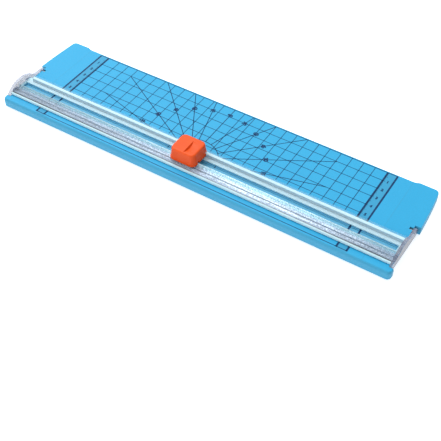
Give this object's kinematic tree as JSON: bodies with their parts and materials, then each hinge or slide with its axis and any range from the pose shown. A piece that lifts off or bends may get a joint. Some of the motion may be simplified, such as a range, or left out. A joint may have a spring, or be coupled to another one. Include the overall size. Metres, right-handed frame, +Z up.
{
  "type": "rotary paper trimmer",
  "caption": "Desktop paper trimmer: a long flat board with a printed grid, a clear guide rail hinged along its front and a sliding cutter with a rotary blade.",
  "frame": {"origin": "middle of the board, on the surface its feet stand on", "axes": "+X along the board to its right end, +Y to its back edge, +Z up"},
  "size_m": [0.3618, 0.096, 0.024],
  "materials": {
    "blue_plastic": "moulded, fine texture",
    "vinyl_strip": "soft satin",
    "clear_acrylic": "clear, extruded",
    "clear_cheek": "clear, moulded",
    "orange_plastic": "moulded, satin",
    "black_acetal": "moulded",
    "grip_rubber": "extruded",
    "foot_rubber": "moulded",
    "blade_steel": "ground",
    "plated_steel": "nickel plated"
  },
  "bodies": {
    "base": {"base_board": "blue_plastic", "cutting_strip": "vinyl_strip", "foot_front_left": "foot_rubber", "foot_front_right": "foot_rubber", "foot_rear_left": "foot_rubber", "foot_rear_right": "foot_rubber"},
    "rail": {"guide_rail": "clear_acrylic", "paper_grip_strip": "grip_rubber", "end_cheek_left": "clear_cheek", "end_cheek_right": "clear_cheek", "hinge_pin_left": "plated_steel", "hinge_pin_right": "plated_steel"},
    "carriage": {"cutter_carriage": "orange_plastic", "return_spring_left": "plated_steel", "return_spring_right": "plated_steel"},
    "cap": {"cutter_cap": "orange_plastic", "blade_holder": "black_acetal", "blade_axle": "plated_steel", "axle_clip": "plated_steel", "blade_washer_front": "plated_steel", "blade_washer_back": "plated_steel", "holder_screw_front": "plated_steel", "holder_screw_back": "plated_steel"},
    "blade": {"rotary_blade": "blade_steel"}
  },
  "joints": [
    {"name": "rail_lift", "type": "hinge", "parent": "base", "child": "rail", "pos_m": [0, 0.0005, 0.0062], "axis": [-1, 0, 0], "range_deg": [0, 70]},
    {"name": "cutter_travel", "type": "slide", "parent": "rail", "child": "carriage", "axis": [1, 0, 0], "range_m": [-0.1588, 0.1684]},
    {"name": "blade_press", "type": "slide", "parent": "carriage", "child": "cap", "axis": [0, 0, -1], "range_m": [0, 0.0016], "stiffness_N_per_m": 600, "springref_m": -0.003, "deforming": ["return_spring_left", "return_spring_right"]},
    {"name": "blade_spin", "type": "hinge", "parent": "cap", "child": "blade", "pos_m": [-0.0048, -0.0255, 0.0155], "axis": [0, 1, 0], "continuous": true}
  ]
}
